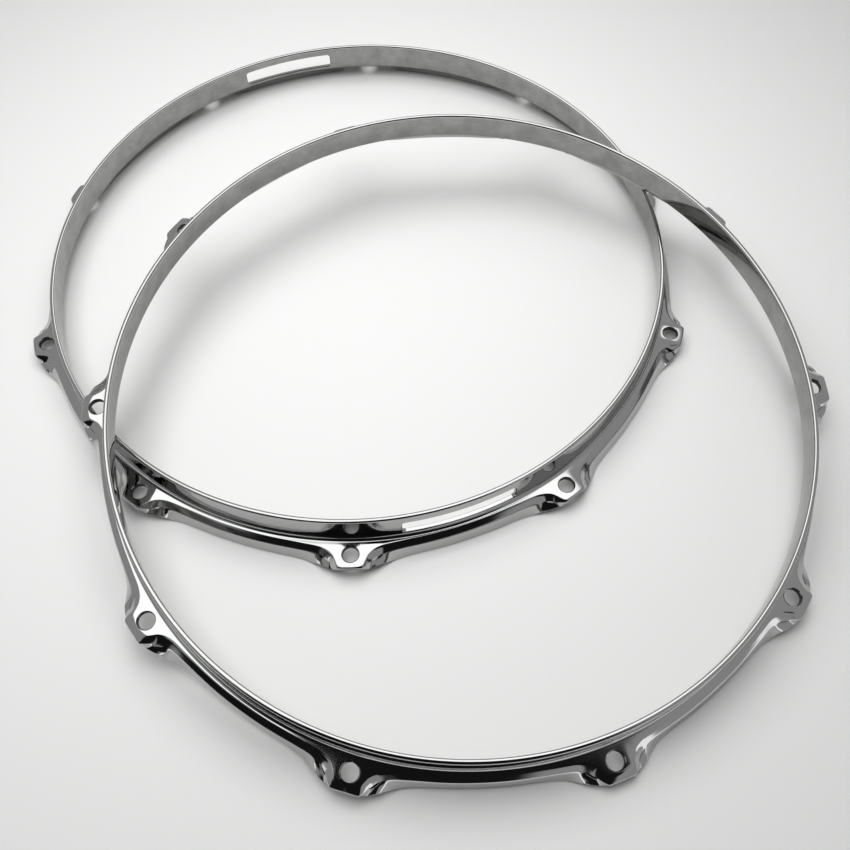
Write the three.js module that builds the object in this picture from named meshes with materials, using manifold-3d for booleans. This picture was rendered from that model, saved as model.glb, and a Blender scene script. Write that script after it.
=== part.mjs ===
// A matched pair of ten-lug die-cast drum hoops for a 14 inch snare drum. The snare side hoop,
// with its two snare gates, lies flat. The batter side hoop lies loose on top of it, with its
// near edge down on the same surface. Millimetres, +Z up, +Y away from the viewer.
// Each hoop is one casting: a raised rim wall, a narrow flange with ten ears for the tension
// rods, and a skirt that drops from the flange outside the drumhead's own hoop.

import * as THREE from 'three';
import { mergeVertices } from 'three/addons/utils/BufferGeometryUtils.js';
import Module from 'manifold-3d';

const wasm = await Module();
wasm.setup();

// Rim wall. Depths are measured down from the rim's top edge.
const innerDiameter = 356.5;
const rimThickness = 2.6;
const rimEdgeRounding = 0.6;
const outerWallLean = 1.35;
const innerWallLean = 1.85;

// Flange and the seat under it that presses on the drumhead.
const shelfDepth = 17.3;
const flangeThickness = 2.9;
const footFillet = 2.1;
const shelfLand = 0.6;
const shoulderWidth = 3;
const shoulderDrop = 2.4;
const seatEdgeRise = 0.3;
const seatChamfer = 3.1;

// Skirt, which hangs from the flange outside the drumhead's hoop.
const skirtDrop = 6.6;
const skirtFlare = 1.7;
const skirtThickness = 2.6;
const skirtInnerTaper = 1.4;

// Ears and their rod holes.
const lugCount = 10;
const rimToRodCentre = 9.65;
const rodHoleDiameter = 8.3;
const snareRodToEarTip = 7.6;
const batterRodToEarTip = 8.7;
const earPadRadius = 5.2;
const earNeckWidth = 17;
const earTipUndercut = 0.6;
const earLip = 1.8;

// Snare gates, cut through the rim wall of the snare side hoop only. The first gate's middle
// is given as a share of the pitch past the ear nearest the viewer.
const gateWidth = 61;
const gateTopDepth = 5.4;
const gateSillRise = 2.2;
const gateCornerRadius = 2;
const gatePitchShare = 0.5;

// Where the batter side hoop lies, from the centre of the snare side hoop, and how far each
// hoop is turned. The snare side hoop has an ear straight ahead and one straight behind.
const batterOffsetRight = 57;
const batterOffsetNear = 109;
const batterTurnDegrees = 1.6;
const snareTurnDegrees = -90;
const seatingGap = 0.3;

// Overrun of cutters past the metal that they cut.
const overrun = 5;

// Fineness of the rod holes, of the gates' corners and of the search for the resting place.
const rodHoleSides = 24;
const cornerSteps = 3;
const rimSamples = 1440;
const seatingPasses = 24;

// Outline of one side of an ear, from its axis out to the end of its neck. Each row holds the
// distance from the axis in half neck widths, then shares: of the flat pad's reach, of the
// ear's reach at its upper edge and at its bottom edge, of the shoulder's drop, and of the
// arch under the ear. The shoulder drops furthest on the ear's flanks.
const earOutlineShares = [
  [0, 1, 1, 1, 0.8, 1],
  [0.45, 0.845, 1, 1, 0.8, 1],
  [0.72, 0.65, 0.99, 1, 0.85, 1],
  [0.88, 0.51, 0.9, 0.97, 1, 1],
  [1.05, 0.42, 0.74, 0.93, 1.2, 1],
  [1.25, 0.33, 0.54, 0.86, 1.35, 1],
  [1.55, 0.23, 0.34, 0.75, 1.38, 0.94],
  [2, 0.14, 0.18, 0.53, 1.25, 0.58],
  [2.85, 0.08, 0.08, 0.23, 1.08, 0.02],
];

// The same from there to the middle of the span between two ears, where the first number is
// the share of that stretch.
const spanOutlineShares = [
  [0.25, 0.03, 0.03, 0.07, 1.02, 0],
  [0.6, 0.01, 0.01, 0.02, 1, 0],
  [1, 0, 0, 0, 1, 0],
];

// Radii and depths that follow from the sizes above.
const innerRadius = innerDiameter / 2;
const outerRadius = innerRadius + rimThickness;
const footRadius = outerRadius + outerWallLean;
const shelfRadius = footRadius + footFillet;
const landRadius = shelfRadius + shelfLand;
const shoulderRadius = landRadius + shoulderWidth;
const skirtRadius = shoulderRadius + skirtFlare;
const seatEdgeRadius = innerRadius + innerWallLean;
const seatRadius = seatEdgeRadius + seatChamfer;
const rodRadius = outerRadius + rimToRodCentre;
const padEndRadius = rodRadius + earPadRadius;
const snareEarTipRadius = rodRadius + snareRodToEarTip;
const batterEarTipRadius = rodRadius + batterRodToEarTip;
const seatDepth = shelfDepth + flangeThickness;
const hoopHeight = seatDepth + skirtDrop;
const gateSillDepth = shelfDepth - gateSillRise;
const earBottomDepth = seatDepth + earLip;
const pitch = 2 * Math.PI / lugCount;
const halfPitch = pitch / 2;
const halfNeckAngle = Math.asin(earNeckWidth / 2 / rodRadius);

const castMetal = (name) => new THREE.MeshStandardMaterial({
  name,
  color: 0xd4d7da,
  roughness: 0.12,
  metalness: 1,
});

// Stations along half a pitch, from an ear's axis to the middle of the span.
function halfPitchStations() {
  const neck = earOutlineShares.map(([half, ...shares]) => [half * halfNeckAngle, ...shares]);
  const neckEnd = neck[neck.length - 1][0];
  const span = spanOutlineShares.map(([share, ...shares]) => [
    neckEnd + share * (halfPitch - neckEnd),
    ...shares,
  ]);
  return [...neck, ...span];
}

// The section at one station of a hoop whose ears reach to the given radius, as points of
// [radius, depth]: its upper side runs from the rim's inner edge over the rim, down the outer
// wall and along the flange, and its underside comes back from the skirt's bottom edge to the
// inner wall's foot.
function section(earTipRadius, [, flatReach, topReach, bottomReach, dropShare, arch]) {
  const flatEnd = THREE.MathUtils.lerp(landRadius, padEndRadius, flatReach);
  const topEdge = THREE.MathUtils.lerp(shoulderRadius, earTipRadius, topReach);
  const bottomEdge = THREE.MathUtils.lerp(skirtRadius, earTipRadius - earTipUndercut, bottomReach);
  const shoulderReach = topEdge - flatEnd;
  const edgeDrop = dropShare * shoulderDrop;
  const bottomDepth = THREE.MathUtils.lerp(hoopHeight, earBottomDepth, arch);
  const skirtInner = bottomEdge - skirtThickness;
  const skirtRoot = skirtInner - skirtInnerTaper * (1 - arch);
  const diagonal = 1 - Math.SQRT1_2;
  const upperSide = [
    [innerRadius, rimEdgeRounding],
    [innerRadius + rimEdgeRounding, 0],
    [outerRadius - rimEdgeRounding, 0],
    [outerRadius, rimEdgeRounding],
    [footRadius, shelfDepth - footFillet],
    [footRadius + footFillet * diagonal, shelfDepth - footFillet * diagonal],
    [shelfRadius, shelfDepth],
    [flatEnd, shelfDepth],
    [topEdge - shoulderReach * diagonal, shelfDepth + edgeDrop * diagonal],
    [topEdge, shelfDepth + edgeDrop],
  ];
  const underside = [
    [bottomEdge, bottomDepth],
    [skirtInner, bottomDepth],
    [skirtRoot, seatDepth],
    [seatRadius, seatDepth],
    [seatEdgeRadius, shelfDepth - seatEdgeRise],
  ];
  return { upperSide, underside };
}

// Every station round a hoop, with its angle and its section.
function stationsRoundHoop(earTipRadius) {
  const half = halfPitchStations();
  const back = half.slice(1, -1).reverse();
  const stations = [];
  for (let lug = 0; lug < lugCount; lug += 1) {
    for (const row of half) {
      stations.push({ angle: lug * pitch + row[0], ...section(earTipRadius, row) });
    }
    for (const row of back) {
      stations.push({ angle: (lug + 1) * pitch - row[0], ...section(earTipRadius, row) });
    }
  }
  return stations;
}

// The closed ring of metal before its holes are cut, standing on Z = 0 with an ear on +X.
function ringGeometry(earTipRadius) {
  const stations = stationsRoundHoop(earTipRadius);
  const points = stations[0].upperSide.length + stations[0].underside.length;
  const positions = [];
  for (const { angle, upperSide, underside } of stations) {
    for (const [radius, depth] of [...upperSide, ...underside]) {
      positions.push(radius * Math.cos(angle), radius * Math.sin(angle), hoopHeight - depth);
    }
  }
  const indices = [];
  for (let station = 0; station < stations.length; station += 1) {
    const here = station * points;
    const next = ((station + 1) % stations.length) * points;
    for (let point = 0; point < points; point += 1) {
      const following = (point + 1) % points;
      indices.push(here + point, here + following, next + point);
      indices.push(next + point, here + following, next + following);
    }
  }
  const geometry = new THREE.BufferGeometry();
  geometry.setAttribute('position', new THREE.Float32BufferAttribute(positions, 3));
  geometry.setIndex(indices);
  return geometry;
}

// A closed geometry as a solid that can be cut.
function solidFrom(geometry) {
  const bare = geometry.clone();
  bare.deleteAttribute('normal');
  bare.deleteAttribute('uv');
  const merged = mergeVertices(bare);
  return new wasm.Manifold(new wasm.Mesh({
    numProp: 3,
    vertProperties: new Float32Array(merged.attributes.position.array),
    triVerts: new Uint32Array(merged.index.array),
  }));
}

function geometryFrom(solid) {
  const mesh = solid.getMesh();
  const geometry = new THREE.BufferGeometry();
  geometry.setAttribute('position', new THREE.Float32BufferAttribute(mesh.vertProperties, 3));
  geometry.setIndex(Array.from(mesh.triVerts));
  geometry.computeVertexNormals();
  return geometry;
}

// One upright cutter for a rod hole, through the ear whose number is given.
function rodHoleCutter(lug) {
  const length = flangeThickness + earLip + 2 * overrun;
  const middle = hoopHeight - shelfDepth - flangeThickness / 2;
  const cutter = new THREE.CylinderGeometry(
    rodHoleDiameter / 2, rodHoleDiameter / 2, length, rodHoleSides);
  cutter.rotateX(Math.PI / 2);
  cutter.translate(rodRadius, 0, middle);
  cutter.rotateZ(lug * pitch);
  return cutter;
}

// A rectangle with rounded corners, across and up from its middle.
function roundedRectangle(width, height, radius) {
  const shape = new THREE.Shape();
  const right = width / 2 - radius;
  const top = height / 2 - radius;
  const quarter = Math.PI / 2;
  shape.absarc(right, top, radius, 0, quarter, false);
  shape.absarc(-right, top, radius, quarter, 2 * quarter, false);
  shape.absarc(-right, -top, radius, 2 * quarter, 3 * quarter, false);
  shape.absarc(right, -top, radius, 3 * quarter, 4 * quarter, false);
  return shape;
}

// One gate cutter: a rounded slot that runs outwards through the rim wall at an angle.
function gateCutter(angle) {
  const height = gateSillDepth - gateTopDepth;
  const corner = Math.min(gateCornerRadius, height / 2 - rimEdgeRounding);
  const chordRadius = Math.sqrt(innerRadius ** 2 - (gateWidth / 2) ** 2);
  const inside = chordRadius - overrun;
  const cutter = new THREE.ExtrudeGeometry(roundedRectangle(gateWidth, height, corner), {
    depth: shelfRadius + overrun - inside,
    curveSegments: cornerSteps,
    bevelEnabled: false,
  });
  cutter.rotateX(Math.PI / 2);
  cutter.rotateZ(Math.PI / 2);
  cutter.translate(inside, 0, hoopHeight - (gateSillDepth + gateTopDepth) / 2);
  cutter.rotateZ(angle);
  return cutter;
}

// A hoop with its rod holes, and with gates at the given angles.
function hoopGeometry(earTipRadius, gateAngles) {
  const cutters = Array.from({ length: lugCount }, (_, lug) => rodHoleCutter(lug));
  cutters.push(...gateAngles.map(gateCutter));
  let solid = solidFrom(ringGeometry(earTipRadius));
  for (const cutter of cutters) solid = solid.subtract(solidFrom(cutter));
  return geometryFrom(solid);
}

// Height above the batter side hoop's own base of its lowest metal over a point, or nothing
// where the point lies clear of the hoop. The point is in the hoop's own frame.
function undersideOver(radius, angle) {
  const fromEar = Math.abs(THREE.MathUtils.euclideanModulo(angle + halfPitch, pitch) - halfPitch);
  const rows = halfPitchStations();
  const after = Math.max(1, rows.findIndex((row) => row[0] >= fromEar - Number.EPSILON));
  const [low, high] = [rows[after - 1], rows[after]];
  const share = (fromEar - low[0]) / (high[0] - low[0]);
  const row = low.map((value, place) => THREE.MathUtils.lerp(value, high[place], share));
  const { upperSide, underside } = section(batterEarTipRadius, row);
  const line = [...underside, upperSide[0]];
  const inwards = line.findIndex(([reach]) => reach <= radius);
  if (inwards < 1) return null;
  const [[outerReach, outerDepth], [innerReach, innerDepth]] = line.slice(inwards - 1, inwards + 1);
  const along = (radius - innerReach) / (outerReach - innerReach);
  return hoopHeight - THREE.MathUtils.lerp(innerDepth, outerDepth, along);
}

// Least height of the placed batter side hoop over the flat hoop's rim, on one side of a line
// that runs away from the viewer between the two hoops' centres.
function rimClearance(placement, rightSide) {
  const inverse = placement.clone().invert();
  const rimRadii = [innerRadius, (innerRadius + outerRadius) / 2, outerRadius];
  let least = { height: Infinity };
  for (let step = 0; step < rimSamples; step += 1) {
    const angle = 2 * Math.PI * step / rimSamples;
    for (const radius of rimRadii) {
      const point = new THREE.Vector3(radius * Math.cos(angle), radius * Math.sin(angle), hoopHeight);
      const local = point.clone().applyMatrix4(inverse);
      const under = undersideOver(Math.hypot(local.x, local.y), Math.atan2(local.y, local.x));
      const isRight = point.x > batterOffsetRight / 2;
      if (under !== null && isRight === rightSide && under - local.z < least.height) {
        least = { height: under - local.z, point };
      }
    }
  }
  return least;
}

// Lowest point of the placed batter side hoop: somewhere on the skirt's bottom edge.
function lowestPoint(placement) {
  let lowest = new THREE.Vector3(0, 0, Infinity);
  for (const { angle, underside } of stationsRoundHoop(batterEarTipRadius)) {
    const [radius, depth] = underside[0];
    const point = new THREE.Vector3(
      radius * Math.cos(angle), radius * Math.sin(angle), hoopHeight - depth);
    point.applyMatrix4(placement);
    if (point.z < lowest.z) lowest = point;
  }
  return lowest;
}

// The place of a hoop whose base plane passes through three heights over three points.
function placeOnPlane(supports) {
  const [a, b, c] = supports;
  const normal = new THREE.Vector3().subVectors(b, a).cross(new THREE.Vector3().subVectors(c, a));
  normal.normalize();
  if (normal.z < 0) normal.negate();
  const along = a.x * normal.x + a.y * normal.y + a.z * normal.z;
  const centre = new THREE.Vector3(batterOffsetRight, -batterOffsetNear, 0);
  centre.z = (along - normal.x * centre.x - normal.y * centre.y) / normal.z;
  const tilt = new THREE.Quaternion().setFromUnitVectors(new THREE.Vector3(0, 0, 1), normal);
  const turn = new THREE.Quaternion().setFromAxisAngle(
    new THREE.Vector3(0, 0, 1), THREE.MathUtils.degToRad(batterTurnDegrees));
  return new THREE.Matrix4().compose(centre, tilt.multiply(turn), new THREE.Vector3(1, 1, 1));
}

// The batter side hoop rests on three supports: the flat hoop's rim at the two crossings and
// the table under its near edge. The supports start where the two circles cross in plan, and
// each pass lifts or lowers them by the clearance that is left.
function seatBatterHoop() {
  const apart = Math.hypot(batterOffsetRight, batterOffsetNear);
  const halfChord = Math.sqrt(rodRadius ** 2 - (apart / 2) ** 2);
  const halfway = new THREE.Vector3(batterOffsetRight / 2, -batterOffsetNear / 2, hoopHeight);
  const across = new THREE.Vector3(batterOffsetNear, batterOffsetRight, 0).setLength(halfChord);
  const supports = [
    halfway.clone().sub(across),
    halfway.clone().add(across),
    new THREE.Vector3(batterOffsetRight, -batterOffsetNear - skirtRadius, 0),
  ];
  let placement = placeOnPlane(supports);
  for (let pass = 0; pass < seatingPasses; pass += 1) {
    const left = rimClearance(placement, false);
    const right = rimClearance(placement, true);
    const near = lowestPoint(placement);
    const normal = new THREE.Vector3().setFromMatrixColumn(placement, 2);
    const origin = new THREE.Vector3().setFromMatrixPosition(placement);
    const basePlane = new THREE.Plane().setFromNormalAndCoplanarPoint(normal, origin);
    const found = [
      [left.point, seatingGap - left.height],
      [right.point, seatingGap - right.height],
      [near, -near.z],
    ];
    found.forEach(([point, lift], index) => {
      const foot = new THREE.Vector3(point.x, point.y, 0);
      foot.z = -basePlane.distanceToPoint(foot) / normal.z;
      supports[index].set(foot.x, foot.y, foot.z + lift);
    });
    placement = placeOnPlane(supports);
  }
  return placement;
}

const assembly = new THREE.Group();

const gateAngle = gatePitchShare * pitch;
const snareSideHoop = new THREE.Mesh(
  hoopGeometry(snareEarTipRadius, [gateAngle, gateAngle + Math.PI]),
  castMetal('snare_side_chrome'));
snareSideHoop.name = 'snare_side_hoop';
snareSideHoop.rotation.z = THREE.MathUtils.degToRad(snareTurnDegrees);
assembly.add(snareSideHoop);

const batterSideHoop = new THREE.Mesh(
  hoopGeometry(batterEarTipRadius, []),
  castMetal('batter_side_chrome'));
batterSideHoop.name = 'batter_side_hoop';
batterSideHoop.applyMatrix4(seatBatterHoop());
assembly.add(batterSideHoop);

// The pair's origin is the middle of its footprint, on the surface it lies on.
assembly.updateMatrixWorld(true);
const extent = new THREE.Box3().setFromObject(assembly, true);
const middle = extent.getCenter(new THREE.Vector3());
assembly.position.set(-middle.x, -middle.y, -extent.min.z);

export default assembly;
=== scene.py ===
"""The looks of a matched pair of die-cast drum hoops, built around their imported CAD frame.

Each hoop is one casting, lathed here from a section that changes round the hoop. Lengths are
in millimetres and depths run down from the rim's top edge, until a mesh is made in metres.
"""

import math
from collections import namedtuple

import bpy
import numpy as np
from mathutils import Matrix, Vector


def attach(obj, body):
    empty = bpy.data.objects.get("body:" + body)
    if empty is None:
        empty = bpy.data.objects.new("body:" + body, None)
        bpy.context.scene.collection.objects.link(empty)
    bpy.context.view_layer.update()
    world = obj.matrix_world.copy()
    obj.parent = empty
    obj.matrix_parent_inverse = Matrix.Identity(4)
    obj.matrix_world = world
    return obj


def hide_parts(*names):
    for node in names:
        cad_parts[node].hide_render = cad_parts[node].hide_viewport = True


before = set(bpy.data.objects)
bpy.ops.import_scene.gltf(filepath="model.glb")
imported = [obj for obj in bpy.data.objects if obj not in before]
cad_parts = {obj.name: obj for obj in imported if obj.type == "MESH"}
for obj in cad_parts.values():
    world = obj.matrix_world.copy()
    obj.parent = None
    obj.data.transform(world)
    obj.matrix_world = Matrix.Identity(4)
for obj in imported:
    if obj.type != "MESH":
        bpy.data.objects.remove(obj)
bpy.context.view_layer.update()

MM = 0.001

# Camera, solved from the photograph: its place from the middle of the snare side hoop's base,
# the way it points in degrees, and its focal length.
FRAME_SIZE = 850
FOCAL_PIXELS = 807.33
CAMERA_FROM_SNARE_HOOP = (40.303, -329.770, 395.321)
CAMERA_PITCH = 61.137
CAMERA_YAW = 0.533
CAMERA_ROLL = -1.370

# Rim wall.
INNER_RADIUS = 178.25
RIM_THICKNESS = 2.6
CROWN_DROP = 1.0
CROWN_POWER = 2.3
OUTER_WALL_LEAN = 1.35
INNER_WALL_LEAN = 1.85
INNER_EDGE_ROUNDING = 0.25

# Flange, with the seat under it.
SHELF_DEPTH = 17.3
FLANGE_THICKNESS = 2.9
FOOT_FILLET = 2.1
SHELF_LAND = 0.6
SHOULDER_WIDTH = 3.3
SHOULDER_DROP = 2.15
SEAT_EDGE_RISE = 0.3
SEAT_CHAMFER = 3.1
FLAT_ROUNDING = 0.8
EDGE_ROUNDING = 0.75

# Skirt. Its ends are thicker where the arch under an ear begins.
SKIRT_DROP = 6.6
SKIRT_FLARE = 1.7
SKIRT_THICKNESS = 2.6
SKIRT_INNER_TAPER = 1.4
SKIRT_EDGE_ROUNDING = 0.45
SKIRT_END_THICKENING = 3.6
THICKENING_POWER = 0.7

# Ears and rod holes.
EAR_COUNT = 10
RIM_TO_ROD = 9.65
ROD_HOLE_RADIUS = 4.15
ROD_HOLE_FLARE = 0.2
ROD_HOLE_ROUNDING = 0.5
ROD_HOLE_ROUNDING_DEPTH = 0.35
SNARE_ROD_TO_TIP = 7.6
SNARE_TIP_EDGE = 0.5
SNARE_TIP_DROP = 0.6
BATTER_ROD_TO_TIP = 8.7
BATTER_TIP_EDGE = 3.4
BATTER_TIP_DROP = 1.9
TIP_POWER = 3
NECK_WIDTH = 17.0
TIP_UNDERCUT = 0.6
EAR_LIP = 1.8

# Snare gates.
GATE_WIDTH = 61.0
GATE_TOP_DEPTH = 5.4
GATE_SILL_RISE = 2.2
GATE_CORNER = 2.0
GATE_EDGE_ROUNDING = 0.35

# How far every cutter runs past what it cuts.
CUTTER_OVERRUN = 5.0

# The outline of half an ear, as shares. Each row gives the distance from the ear's axis in
# half necks, the reach of the flat on the batter and on the snare side hoop, the reach of the
# upper edge, the reach of the bottom edge, the share of the full shoulder's drop, and the share
# of the arch under the ear.
EAR_ROWS = (
    (0.00, 1.000, 1.00, 1.00, 1.00, 0.90, 1.00),
    (0.45, 0.930, 0.99, 1.00, 1.00, 0.90, 1.00),
    (0.72, 0.860, 0.93, 0.99, 1.00, 0.95, 1.00),
    (0.88, 0.680, 0.72, 0.90, 0.97, 1.10, 1.00),
    (1.05, 0.480, 0.50, 0.74, 0.93, 1.30, 1.00),
    (1.25, 0.350, 0.37, 0.54, 0.86, 1.45, 1.00),
    (1.55, 0.230, 0.25, 0.34, 0.75, 1.48, 0.94),
    (2.00, 0.140, 0.15, 0.18, 0.53, 1.32, 0.58),
    (2.85, 0.080, 0.08, 0.08, 0.23, 1.10, 0.02),
)
# The same for half a span, from the last row above, at 0, to the middle between two ears, at 1.
SPAN_ROWS = (
    (0.25, 0.03, 0.03, 0.03, 0.07, 1.03, 0.00),
    (0.60, 0.01, 0.01, 0.01, 0.02, 1.00, 0.00),
    (1.00, 0.00, 0.00, 0.00, 0.00, 1.00, 0.00),
)

# Fineness of the mesh: degrees between two stations near an ear and along the open span, then
# points on each round stretch and steps on each straight one. A rounded corner takes at most
# the largest share of each side.
EAR_STEP = 0.16
SPAN_STEP = 0.45
CROWN_POINTS = 17
FOOT_POINTS = 9
FLAT_ROUNDING_POINTS = 6
EDGE_ROUNDING_POINTS = 9
LOWER_CORNER_POINTS = 4
SLOPE_STEPS = 4
SIDE_STEPS = 12
ROD_HOLE_POINTS = 64
ROD_HOLE_BEND_POINTS = 5
GATE_CORNER_POINTS = 9
GATE_BEND_POINTS = 4
GATE_SIDE_STEPS = 41
LARGEST_ROUNDED_SHARE = 0.45

# Measuring the place of a CAD hoop: the decimals of a metre to which two points are one, how
# far up from its lowest point the base goes, and how far in from the outermost one the tips go.
WELD_DIGITS = 7
BASE_HEIGHT = 0.2
TIP_REACH = 0.1

# Finishes. A noise has its scale and its detail, a range of it is spread over the roughness,
# and each hoop shifts the noise by its own amount along each finish's direction.
CHROME, SATIN, DULL_AND_SHADED = range(3)
CHROME_COLOUR = (0.44, 0.445, 0.44, 1)
CHROME_RUBBED_NOISE = (38, 5)
CHROME_RUBBED_RANGE = (0.35, 0.75)
CHROME_ROUGHNESS = (0.035, 0.12)
CHROME_WAVE_NOISE = (120, 2)
CHROME_WAVE_STRENGTH = 0.1
CHROME_WAVE_HEIGHT = 0.06
CHROME_SHIFT = (1, 2, 0)
SATIN_CLOUD_NOISE = (95, 7)
SATIN_CLOUD_RANGE = (0.3, 0.7)
SATIN_ROUGHNESS = (0.04, 0.12)
SATIN_MARKS_NOISE = (260, 4)
SATIN_MARKS_STRETCH = (1, 1, 5)
SATIN_MARKS_SHARE = 0.4
SATIN_TONES = ((0.36, (0.23, 0.235, 0.225, 1)), (0.66, (0.34, 0.345, 0.335, 1)))
SATIN_SHIFT = (1, 3, 0)
# painted shade: the rod holes' plate is near black, far darker than its own dull colour, standing
# in for the shade down in the holes
BORE_PAINTED_SHADE = (0.05, 0.05, 0.05, 1)
BORE_ROUGHNESS = 0.5
SNARE_NOISE_SHIFT = 1.7
BATTER_NOISE_SHIFT = 5.3

# Where a face takes the dull plate with its painted shade, or the satin finish: how far out
# from a rod hole or from the wall's inner face, how far below the crown, and how steeply it
# looks down. Then the angle in degrees above which an edge stays sharp.
BORE_MARGIN = 0.14
WALL_MARGIN = 0.1
CROWN_MARGIN = 0.2
UNDERSIDE_NORMAL = -0.3
SHARP_EDGE_ANGLE = 32

# The sockets of a mix node that take the two values and give the result.
MIX_NUMBERS = (2, 3, 0)
MIX_COLOURS = (6, 7, 2)

# Floor and lamp. The lamp's place and size are in metres and its power is in watts. The floor
# takes only a share of the room's light, and the lamp gives it the rest.
FLOOR_HALF = 4000
FLOOR_COLOUR = (0.86, 0.86, 0.855, 1)
FLOOR_ROUGHNESS = 0.6
FLOOR_SPECULAR = 0.2
FLOOR_SHARE_OF_ROOM = 0.6
LAMP_PLACE = (-0.07, 0.07, 0.5)
LAMP_SIZE = 0.65
LAMP_POWER = 2.8

# The room that the chrome mirrors. Each area has its direction, the angles in degrees from
# there at which it begins to fade and ends, and its colour, and covers those before it.
BACKDROP = (0.86, 0.86, 0.86, 1)
WALLS = (0.45, 0.45, 0.45, 1)
LIGHT = (2.25, 2.25, 2.25, 1)
GLOW = (1.7, 1.7, 1.7, 1)
DARK = (0.012, 0.012, 0.013, 1)
ROOM = (
    # a low glow round the horizon, left only behind the camera
    ((0, 0, -1), 95, 98, GLOW),
    ((0, 1, 0), 105, 115, WALLS),
    # dark areas low behind the camera
    ((0, -0.9, 0.42), 14, 19, DARK),
    ((-0.6, -0.72, 0.34), 17, 22, DARK),
    # two lights in the ceiling
    ((0.08, 0.62, 0.78), 12, 15, LIGHT),
    ((-0.1, 0.22, 0.97), 19.5, 21, LIGHT),
    # dark areas round the camera and overhead
    ((0, -0.62, 0.78), 28, 33, DARK),
    ((0.08, -0.15, 0.98), 12.5, 14, DARK),
)

# Radii, depths and angles that follow.
OUTER_RADIUS = INNER_RADIUS + RIM_THICKNESS
FOOT_RADIUS = OUTER_RADIUS + OUTER_WALL_LEAN
SHELF_RADIUS = FOOT_RADIUS + FOOT_FILLET
LAND_RADIUS = SHELF_RADIUS + SHELF_LAND
SHOULDER_RADIUS = LAND_RADIUS + SHOULDER_WIDTH
SKIRT_RADIUS = SHOULDER_RADIUS + SKIRT_FLARE
SEAT_EDGE_RADIUS = INNER_RADIUS + INNER_WALL_LEAN
SEAT_RADIUS = SEAT_EDGE_RADIUS + SEAT_CHAMFER
ROD_RADIUS = OUTER_RADIUS + RIM_TO_ROD
FOOT_DEPTH = SHELF_DEPTH - FOOT_FILLET
SEAT_EDGE_DEPTH = SHELF_DEPTH - SEAT_EDGE_RISE
SEAT_DEPTH = SHELF_DEPTH + FLANGE_THICKNESS
HOOP_HEIGHT = SEAT_DEPTH + SKIRT_DROP
EAR_BOTTOM_DEPTH = SEAT_DEPTH + EAR_LIP
GATE_SILL_DEPTH = SHELF_DEPTH - GATE_SILL_RISE
PITCH = 2 * math.pi / EAR_COUNT
HALF_PITCH = PITCH / 2
HALF_NECK = math.asin(NECK_WIDTH / 2 / ROD_RADIUS)

# An ear's tip radius, the width and drop of its tip's edge, and whether its flat is square.
Ear = namedtuple("Ear", "tip edge drop square")


def mix(low, high, share):
    return low + (high - low) * share


def monotone_curve(knots, values, places):
    """A smooth curve through the rows that never swings past them, level at both ends."""
    step = np.diff(knots)
    rise = np.diff(values) / step
    slope = np.zeros(len(knots))
    for i in range(1, len(knots) - 1):
        if rise[i - 1] * rise[i] > 0:
            w1, w2 = 2 * step[i] + step[i - 1], step[i] + 2 * step[i - 1]
            slope[i] = (w1 + w2) / (w1 / rise[i - 1] + w2 / rise[i])
    cell = np.clip(np.searchsorted(knots, places, side="right") - 1, 0, len(step) - 1)
    h = step[cell]
    t = (places - knots[cell]) / h
    return (
        values[cell] * (1 + 2 * t) * (1 - t) ** 2
        + slope[cell] * h * t * (1 - t) ** 2
        + values[cell + 1] * t ** 2 * (3 - 2 * t)
        + slope[cell + 1] * h * t ** 2 * (t - 1)
    )


def half_pitch_rows():
    """Angles from an ear's axis to the middle of the span, with every share at each."""
    neck_end = EAR_ROWS[-1][0] * HALF_NECK
    rows = [(row[0] * HALF_NECK, *row[1:]) for row in EAR_ROWS]
    rows += [(mix(neck_end, HALF_PITCH, row[0]), *row[1:]) for row in SPAN_ROWS]
    table = np.array(rows)
    fine = np.arange(0, math.degrees(neck_end), EAR_STEP)
    count = math.ceil((math.degrees(HALF_PITCH) - fine[-1]) / SPAN_STEP)
    coarse = np.linspace(fine[-1], math.degrees(HALF_PITCH), count + 1)[1:]
    angles = np.radians(np.concatenate([fine, coarse]))
    shares = [monotone_curve(table[:, 0], table[:, k], angles) for k in range(1, len(rows[0]))]
    return np.column_stack([angles, *shares])


def crown():
    """The rim's rounded top, from its inner edge to its outer one."""
    half = RIM_THICKNESS / 2
    middle = INNER_RADIUS + half
    points = []
    for turn in np.radians(np.linspace(180, 0, CROWN_POINTS)):
        across = math.copysign(abs(math.cos(turn)) ** (2 / CROWN_POWER), math.cos(turn))
        drop = 1 - math.sin(turn) ** (2 / CROWN_POWER)
        points.append((middle + half * across, CROWN_DROP * drop))
    return points


def foot():
    """The concave fillet between the outer wall and the shelf."""
    lean = math.atan2(OUTER_WALL_LEAN, FOOT_DEPTH - CROWN_DROP)
    turns = np.linspace(math.pi - lean, math.pi / 2, FOOT_POINTS)
    return [
        (SHELF_RADIUS + FOOT_FILLET * math.cos(a), FOOT_DEPTH + FOOT_FILLET * math.sin(a))
        for a in turns
    ]


def stepped(start, end, count):
    """Evenly spaced points between two points of the section, without the two themselves."""
    start, end = np.array(start), np.array(end)
    return [tuple(mix(start, end, share)) for share in np.linspace(0, 1, count + 1)[1:-1]]


def rounded_corner(before, corner, after, radius, count):
    """The points of a corner of the section that is rounded off by a curve."""
    corner = np.array(corner)
    to_before, to_after = np.array(before) - corner, np.array(after) - corner
    start = corner + to_before * min(LARGEST_ROUNDED_SHARE, radius / np.linalg.norm(to_before))
    end = corner + to_after * min(LARGEST_ROUNDED_SHARE, radius / np.linalg.norm(to_after))
    return [
        tuple((1 - t) ** 2 * start + 2 * t * (1 - t) * corner + t ** 2 * end)
        for t in np.linspace(0, 1, count)
    ]


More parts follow.
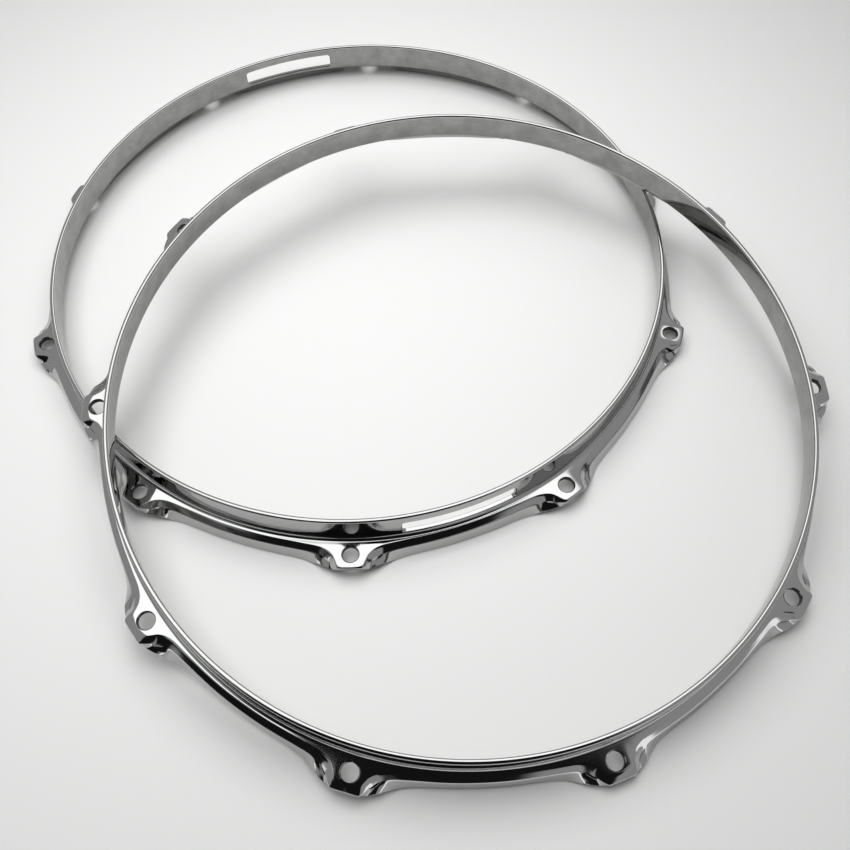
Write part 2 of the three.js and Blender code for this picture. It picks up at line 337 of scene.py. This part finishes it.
def outer_side(foot_end, flat_end, edge, bottom):
    """From the flat over the sloping shoulder and the rounded edge, down to the bottom edge."""
    flat = rounded_corner(foot_end, flat_end, edge, FLAT_ROUNDING, FLAT_ROUNDING_POINTS)
    rolled = rounded_corner(flat_end, edge, bottom, EDGE_ROUNDING, EDGE_ROUNDING_POINTS)
    slope = stepped(flat[-1], rolled[0], SLOPE_STEPS)
    return flat + slope + rolled + stepped(rolled[-1], bottom, SIDE_STEPS)


def skirt_end_thickening(arch):
    """How much thicker the skirt is where the arch under an ear begins."""
    if not 0 < arch < 1:
        return 0
    return SKIRT_END_THICKENING * math.sin(math.pi * arch) ** THICKENING_POWER


def section(ear, row):
    """The closed section at one station as (radius, depth), from the rim's inner edge round."""
    batter_reach, snare_reach, top_reach, bottom_reach, drop_share, arch = row
    flat_reach = snare_reach if ear.square else batter_reach
    tip_share = (math.sqrt(flat_reach) * top_reach) ** TIP_POWER
    edge_drop = mix(drop_share * SHOULDER_DROP, ear.drop, tip_share)
    bottom_radius = mix(SKIRT_RADIUS, ear.tip - TIP_UNDERCUT, bottom_reach)
    bottom_depth = mix(HOOP_HEIGHT, EAR_BOTTOM_DEPTH, arch)
    skirt_inner = bottom_radius - SKIRT_THICKNESS - skirt_end_thickening(arch)
    skirt_root = skirt_inner - SKIRT_INNER_TAPER * (1 - arch)

    flat_end = (mix(LAND_RADIUS, ear.tip - ear.edge, flat_reach), SHELF_DEPTH)
    edge = (mix(SHOULDER_RADIUS, ear.tip, top_reach), SHELF_DEPTH + edge_drop)
    outer_bottom = (bottom_radius, bottom_depth)
    inner_bottom = (skirt_inner, bottom_depth)
    root = (skirt_root, SEAT_DEPTH)
    seat = (SEAT_RADIUS, SEAT_DEPTH)
    seat_edge = (SEAT_EDGE_RADIUS, SEAT_EDGE_DEPTH)

    points = crown() + foot()
    points += outer_side(points[-1], flat_end, edge, outer_bottom)
    corners = [points[-1], outer_bottom, inner_bottom, root, seat, seat_edge, points[0]]
    roundings = 4 * [SKIRT_EDGE_ROUNDING] + [INNER_EDGE_ROUNDING]
    for before, corner, after, radius in zip(corners, corners[1:], corners[2:], roundings):
        points += rounded_corner(before, corner, after, radius, LOWER_CORNER_POINTS)
    return points


def ring_mesh(ear):
    """Vertices and faces of the whole hoop before its holes are cut, with an ear on +X."""
    half = half_pitch_rows()
    whole = [(row[0], section(ear, row[1:])) for row in half]
    whole += [(PITCH - angle, points) for angle, points in reversed(whole[1:-1])]
    vertices = []
    for number in range(EAR_COUNT):
        for angle, points in whole:
            turn = number * PITCH + angle
            for radius, depth in points:
                vertices.append(
                    (radius * math.cos(turn), radius * math.sin(turn), HOOP_HEIGHT - depth))
    count = len(whole[0][1])
    stations = EAR_COUNT * len(whole)
    faces = []
    for station in range(stations):
        here, ahead = station * count, (station + 1) % stations * count
        for point in range(count):
            after = (point + 1) % count
            faces.append((here + point, ahead + point, ahead + after, here + after))
    return vertices, faces


def mesh_object(name, vertices, faces):
    """A mesh in metres from vertices in millimetres."""
    mesh = bpy.data.meshes.new(name)
    mesh.from_pydata([(x * MM, y * MM, z * MM) for x, y, z in vertices], [], faces)
    mesh.validate()
    piece = bpy.data.objects.new(name, mesh)
    bpy.context.scene.collection.objects.link(piece)
    return piece


def lofted(rings):
    """A closed body through rings of equally many points, capped at both ends."""
    count = len(rings[0])
    vertices = [point for ring in rings for point in ring]
    faces = [tuple(reversed(range(count)))]
    for level in range(len(rings) - 1):
        low, high = level * count, (level + 1) * count
        for k in range(count):
            after = (k + 1) % count
            faces.append((low + k, low + after, high + after, high + k))
    faces.append(tuple(range((len(rings) - 1) * count, len(rings) * count)))
    return vertices, faces


def rod_hole_cutter(number):
    """An upright cutter whose ends flare, so that the hole's edges come out rounded."""
    flare, rounding = ROD_HOLE_FLARE, ROD_HOLE_ROUNDING
    bend = np.radians(np.linspace(0, 90, ROD_HOLE_BEND_POINTS))
    levels = [(SEAT_DEPTH + CUTTER_OVERRUN, flare)]
    levels += [(SEAT_DEPTH - flare * math.sin(a), flare * (1 - math.sin(a))) for a in bend]
    levels += [(SHELF_DEPTH + ROD_HOLE_ROUNDING_DEPTH * math.cos(a), rounding * (1 - math.cos(a)))
               for a in bend]
    levels += [(SHELF_DEPTH - CUTTER_OVERRUN, rounding)]
    turn = number * PITCH
    rings = []
    for depth, spread in levels:
        ring = []
        for k in range(ROD_HOLE_POINTS):
            a = 2 * math.pi * k / ROD_HOLE_POINTS
            x = ROD_RADIUS + (ROD_HOLE_RADIUS + spread) * math.cos(a)
            y = (ROD_HOLE_RADIUS + spread) * math.sin(a)
            ring.append((x * math.cos(turn) - y * math.sin(turn),
                         x * math.sin(turn) + y * math.cos(turn), HOOP_HEIGHT - depth))
        rings.append(ring)
    return lofted(rings)


def wall_radii(depth):
    """Radii of the inner and outer wall at a depth."""
    inner_share = (depth - CROWN_DROP) / (SHELF_DEPTH - CROWN_DROP)
    outer_share = (depth - CROWN_DROP) / (FOOT_DEPTH - CROWN_DROP)
    return (INNER_RADIUS + INNER_WALL_LEAN * inner_share,
            OUTER_RADIUS + OUTER_WALL_LEAN * outer_share)


def gate_outline():
    """The gate's corner centres with the way out from each, in order round the gate."""
    across_reach = GATE_WIDTH / 2 - GATE_CORNER
    up_reach = (GATE_SILL_DEPTH - GATE_TOP_DEPTH) / 2 - GATE_CORNER
    outline = []
    for across, up, start in ((1, 1, 0), (-1, 1, 90), (-1, -1, 180), (1, -1, 270)):
        x, y = across * across_reach, up * up_reach
        turns = np.radians(np.linspace(start, start + 90, GATE_CORNER_POINTS))
        outline += [(x, y, math.cos(a), math.sin(a)) for a in turns]
        # a long side follows every second corner, and has points enough to bend with the wall
        if across == up:
            shares = np.linspace(0, 1, GATE_SIDE_STEPS + 1)[1:-1]
            outline += [(mix(x, -x, share), y, 0, up) for share in shares]
    return outline


def gate_cutter(angle):
    """A cutter through the rim wall, a rounded rectangle that flares at both faces."""
    middle = (GATE_SILL_DEPTH + GATE_TOP_DEPTH) / 2
    edge = GATE_EDGE_ROUNDING
    outline = gate_outline()
    bend = np.radians(np.linspace(0, 90, GATE_BEND_POINTS))
    inner, outer = 0, 1
    levels = [(inner, -CUTTER_OVERRUN, edge)]
    levels += [(inner, edge * math.sin(a), edge * (1 - math.sin(a))) for a in bend]
    levels += [(outer, -edge * math.cos(a), edge * (1 - math.cos(a))) for a in bend]
    levels += [(outer, CUTTER_OVERRUN, edge)]
    rings = []
    for side, beyond, spread in levels:
        ring = []
        for x, y, out_x, out_y in outline:
            reach = GATE_CORNER + spread
            depth = middle - y - out_y * reach
            radius = wall_radii(depth)[side] + beyond
            turn = angle + (x + out_x * reach) / OUTER_RADIUS
            ring.append((radius * math.cos(turn), radius * math.sin(turn), HOOP_HEIGHT - depth))
        rings.append(ring)
    return lofted(rings)


def cut(piece, cutters):
    """Takes the cutters out of the piece."""
    vertices, faces = [], []
    for more, corners in cutters:
        start = len(vertices)
        vertices += more
        faces += [tuple(start + k for k in face) for face in corners]
    tool = mesh_object("cutter", vertices, faces)
    modifier = piece.modifiers.new("holes", "BOOLEAN")
    modifier.operation = "DIFFERENCE"
    modifier.solver = "EXACT"
    modifier.object = tool
    bpy.context.view_layer.update()
    graph = bpy.context.evaluated_depsgraph_get()
    result = bpy.data.meshes.new_from_object(piece.evaluated_get(graph))
    piece.modifiers.clear()
    piece.data = result
    bpy.data.objects.remove(tool)


def middle_and_normal(points):
    """The middle of the points, and the upward normal of the plane that fits them best."""
    middle = points.mean(0)
    normal = np.linalg.svd(points - middle, full_matrices=False)[2][2]
    return middle, normal * math.copysign(1, normal[2])


def place_of(node):
    """Where a CAD hoop lies: a matrix from its own frame, with its nearest ear on +X."""
    points = np.array([v.co for v in node.data.vertices], float)
    points = np.unique(np.round(points, WELD_DIGITS), axis=0)
    centre, axis = middle_and_normal(points)
    heights = (points - centre) @ axis
    centre, axis = middle_and_normal(points[heights < heights.min() + BASE_HEIGHT * MM])
    across = np.cross(axis, (0, 1, 0))
    across /= np.linalg.norm(across)
    along = np.cross(axis, across)
    x, y = (points - centre) @ across, (points - centre) @ along
    radius = np.hypot(x, y)
    tips = radius > radius.max() - TIP_REACH * MM
    turn = np.angle(np.exp(1j * EAR_COUNT * np.arctan2(y[tips], x[tips])).mean()) / EAR_COUNT
    angles = [turn + number * PITCH for number in range(EAR_COUNT)]
    ears = [across * math.cos(a) + along * math.sin(a) for a in angles]
    toward = min(ears, key=lambda ear: ear[1])
    side = np.cross(axis, toward)
    matrix = Matrix.Identity(4)
    for k in range(3):
        matrix[k] = (toward[k], side[k], axis[k], centre[k])
    return matrix


def shader_inputs(material):
    return material.node_tree.nodes["Principled BSDF"].inputs


def new_material(name, values):
    """A material whose shader has the given values of its inputs."""
    material = bpy.data.materials.new(name)
    material.use_nodes = True
    for socket, value in values.items():
        shader_inputs(material)[socket].default_value = value
    return material


def shifted_place(tree, direction, shift):
    """Places on the piece, shifted so that the noise differs from piece to piece."""
    place = tree.nodes.new("ShaderNodeTexCoord")
    mapping = tree.nodes.new("ShaderNodeMapping")
    mapping.inputs["Location"].default_value = Vector(direction) * shift
    tree.links.new(place.outputs["Object"], mapping.inputs["Vector"])
    return mapping.outputs["Vector"]


def noise(tree, place, scale, detail):
    texture = tree.nodes.new("ShaderNodeTexNoise")
    texture.inputs["Scale"].default_value = scale
    texture.inputs["Detail"].default_value = detail
    tree.links.new(place, texture.inputs["Vector"])
    return texture.outputs["Fac"]


def rescaled(tree, value, before, after):
    """The value with the range before, a pair, spread over the range after."""
    node = tree.nodes.new("ShaderNodeMapRange")
    node.inputs["From Min"].default_value, node.inputs["From Max"].default_value = before
    node.inputs["To Min"].default_value, node.inputs["To Max"].default_value = after
    tree.links.new(value, node.inputs["Value"])
    return node.outputs["Result"]


def chrome(name, shift):
    """Mirror chrome over a die casting: faint waviness, and patches that are rubbed duller."""
    material = new_material(name, {"Metallic": 1, "Base Color": CHROME_COLOUR})
    tree, inputs = material.node_tree, shader_inputs(material)
    place = shifted_place(tree, CHROME_SHIFT, shift)
    rubbed = noise(tree, place, *CHROME_RUBBED_NOISE)
    roughness = rescaled(tree, rubbed, CHROME_RUBBED_RANGE, CHROME_ROUGHNESS)
    tree.links.new(roughness, inputs["Roughness"])
    bump = tree.nodes.new("ShaderNodeBump")
    bump.inputs["Strength"].default_value = CHROME_WAVE_STRENGTH
    bump.inputs["Distance"].default_value = CHROME_WAVE_HEIGHT * MM
    tree.links.new(noise(tree, place, *CHROME_WAVE_NOISE), bump.inputs["Height"])
    tree.links.new(bump.outputs["Normal"], inputs["Normal"])
    return material


def satin(name, shift):
    """The softer plate inside the rim: cloudy, with fine marks."""
    material = new_material(name, {"Metallic": 1})
    tree, inputs = material.node_tree, shader_inputs(material)
    place = shifted_place(tree, SATIN_SHIFT, shift)
    cloud = noise(tree, place, *SATIN_CLOUD_NOISE)
    roughness = rescaled(tree, cloud, SATIN_CLOUD_RANGE, SATIN_ROUGHNESS)
    tree.links.new(roughness, inputs["Roughness"])
    stretch = tree.nodes.new("ShaderNodeMapping")
    stretch.inputs["Scale"].default_value = SATIN_MARKS_STRETCH
    tree.links.new(place, stretch.inputs["Vector"])
    marks = noise(tree, stretch.outputs["Vector"], *SATIN_MARKS_NOISE)
    below, above, result = MIX_NUMBERS
    blend = tree.nodes.new("ShaderNodeMix")
    blend.inputs["Factor"].default_value = SATIN_MARKS_SHARE
    tree.links.new(cloud, blend.inputs[below])
    tree.links.new(marks, blend.inputs[above])
    colour = tree.nodes.new("ShaderNodeValToRGB")
    for stop, (position, tone) in zip(colour.color_ramp.elements, SATIN_TONES):
        stop.position = position
        stop.color = tone
    tree.links.new(blend.outputs[result], colour.inputs["Fac"])
    tree.links.new(colour.outputs["Color"], inputs["Base Color"])
    return material


def dull_plate_and_painted_shade(name):
    """The thin, dull plate down in the rod holes, painted near black as the shade in the holes.
    """
    return new_material(
        name, {"Metallic": 1, "Base Color": BORE_PAINTED_SHADE, "Roughness": BORE_ROUGHNESS})


def finish_of(polygon):
    """Which finish a face has, from where it is in the hoop's own frame."""
    x, y, z = (value / MM for value in polygon.center)
    radius = math.hypot(x, y)
    depth = HOOP_HEIGHT - z
    angle = math.atan2(y, x)
    off_axis = angle - round(angle / PITCH) * PITCH
    from_hole = math.hypot(radius * math.cos(off_axis) - ROD_RADIUS, radius * math.sin(off_axis))
    # faces in a rod hole take the dull plate with painted shade
    if from_hole < ROD_HOLE_RADIUS + BORE_MARGIN:
        return DULL_AND_SHADED
    faces_in = polygon.normal.x * x + polygon.normal.y * y < 0
    within_wall = radius < SEAT_EDGE_RADIUS + WALL_MARGIN and depth > CROWN_DROP + CROWN_MARGIN
    underneath = polygon.normal.z < UNDERSIDE_NORMAL and depth > SEAT_EDGE_DEPTH
    return SATIN if faces_in and within_wall or underneath else CHROME


def build_hoop(name, node_name, body, ear, has_gates, noise_shift):
    """One hoop, in the place of its CAD node."""
    hoop = mesh_object(name, *ring_mesh(ear))
    cutters = [rod_hole_cutter(number) for number in range(EAR_COUNT)]
    if has_gates:
        # midway between two ears, and opposite each other
        cutters += [gate_cutter(HALF_PITCH), gate_cutter(HALF_PITCH + math.pi)]
    cut(hoop, cutters)
    mesh = hoop.data
    mesh.materials.clear()
    mesh.materials.append(chrome(name + "_chrome", noise_shift))
    mesh.materials.append(satin(name + "_satin", noise_shift))
    mesh.materials.append(dull_plate_and_painted_shade(name + "_bore_painted_shade"))
    for polygon in mesh.polygons:
        polygon.material_index = finish_of(polygon)
        polygon.use_smooth = True
    mesh.set_sharp_from_angle(angle=math.radians(SHARP_EDGE_ANGLE))
    mesh.transform(place_of(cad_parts[node_name]))
    mesh.update()
    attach(hoop, body)
    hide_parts(node_name)


def add_camera():
    middle = place_of(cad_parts["snare_side_hoop"]).translation
    data = bpy.data.cameras.new("camera")
    data.sensor_fit = "HORIZONTAL"
    data.angle = 2 * math.atan(FRAME_SIZE / 2 / FOCAL_PIXELS)
    camera = bpy.data.objects.new("camera", data)
    camera.matrix_world = (
        Matrix.Translation(middle + Vector(CAMERA_FROM_SNARE_HOOP) * MM)
        @ Matrix.Rotation(math.radians(CAMERA_YAW), 4, "Z")
        @ Matrix.Rotation(math.radians(90 - CAMERA_PITCH), 4, "X")
        @ Matrix.Rotation(math.radians(CAMERA_ROLL), 4, "Z")
    )
    bpy.context.scene.collection.objects.link(camera)
    bpy.context.scene.camera = camera


def add_floor():
    h = FLOOR_HALF
    floor = mesh_object("floor", [(-h, -h, 0), (h, -h, 0), (h, h, 0), (-h, h, 0)], [(0, 1, 2, 3)])
    values = {"Base Color": FLOOR_COLOUR, "Roughness": FLOOR_ROUGHNESS,
              "Specular IOR Level": FLOOR_SPECULAR}
    floor.data.materials.append(new_material("floor", values))


def lobe(tree, place, direction, inner, outer):
    """1 within the inner angle of a direction, fading to 0 at the outer one."""
    dot = tree.nodes.new("ShaderNodeVectorMath")
    dot.operation = "DOT_PRODUCT"
    dot.inputs[1].default_value = Vector(direction).normalized()
    tree.links.new(place, dot.inputs[0])
    fade = tree.nodes.new("ShaderNodeMapRange")
    fade.interpolation_type = "SMOOTHSTEP"
    fade.inputs["From Min"].default_value = math.cos(math.radians(outer))
    fade.inputs["From Max"].default_value = math.cos(math.radians(inner))
    tree.links.new(dot.outputs["Value"], fade.inputs["Value"])
    return fade.outputs["Result"]


def laid_over(tree, look, share, colour):
    """A colour laid over a look, which is a colour or a socket, as far as the share goes."""
    below, above, result = MIX_COLOURS
    blend = tree.nodes.new("ShaderNodeMix")
    blend.data_type = "RGBA"
    tree.links.new(share, blend.inputs["Factor"])
    if isinstance(look, tuple):
        blend.inputs[below].default_value = look
    else:
        tree.links.new(look, blend.inputs[below])
    blend.inputs[above].default_value = colour
    return blend.outputs[result]


def add_world():
    """A plain studio: pale ceiling lights ahead, grey walls, and the dark behind the camera."""
    world = bpy.data.worlds.new("studio")
    bpy.context.scene.world = world
    world.use_nodes = True
    tree = world.node_tree
    tree.nodes.clear()
    out = tree.nodes.new("ShaderNodeOutputWorld")
    background = tree.nodes.new("ShaderNodeBackground")
    tree.links.new(background.outputs["Background"], out.inputs["Surface"])
    place = tree.nodes.new("ShaderNodeTexCoord").outputs["Generated"]
    look = WALLS
    for direction, inner, outer, colour in ROOM:
        look = laid_over(tree, look, lobe(tree, place, direction, inner, outer), colour)
    ray = tree.nodes.new("ShaderNodeLightPath")
    shown = laid_over(tree, look, ray.outputs["Is Camera Ray"], BACKDROP)
    tree.links.new(shown, background.inputs["Color"])
    strength = rescaled(tree, ray.outputs["Is Diffuse Ray"], (0, 1), (1, FLOOR_SHARE_OF_ROOM))
    tree.links.new(strength, background.inputs["Strength"])


def add_lamp():
    """One broad soft lamp overhead, which lifts the floor to its own colour."""
    data = bpy.data.lights.new("soft_lamp", "AREA")
    data.shape = "DISK"
    data.size = LAMP_SIZE
    data.energy = LAMP_POWER
    lamp = bpy.data.objects.new("soft_lamp", data)
    lamp.location = LAMP_PLACE
    lamp.visible_glossy = False
    bpy.context.scene.collection.objects.link(lamp)


add_camera()
add_floor()
add_world()
add_lamp()

snare_ear = Ear(
    tip=ROD_RADIUS + SNARE_ROD_TO_TIP, edge=SNARE_TIP_EDGE, drop=SNARE_TIP_DROP, square=True)
batter_ear = Ear(
    tip=ROD_RADIUS + BATTER_ROD_TO_TIP, edge=BATTER_TIP_EDGE, drop=BATTER_TIP_DROP, square=False)
build_hoop(
    "snare_hoop_casting", "snare_side_hoop", "snare_hoop",
    snare_ear, has_gates=True, noise_shift=SNARE_NOISE_SHIFT)
build_hoop(
    "batter_hoop_casting", "batter_side_hoop", "batter_hoop",
    batter_ear, has_gates=False, noise_shift=BATTER_NOISE_SHIFT)

bpy.context.scene.view_settings.view_transform = "Standard"
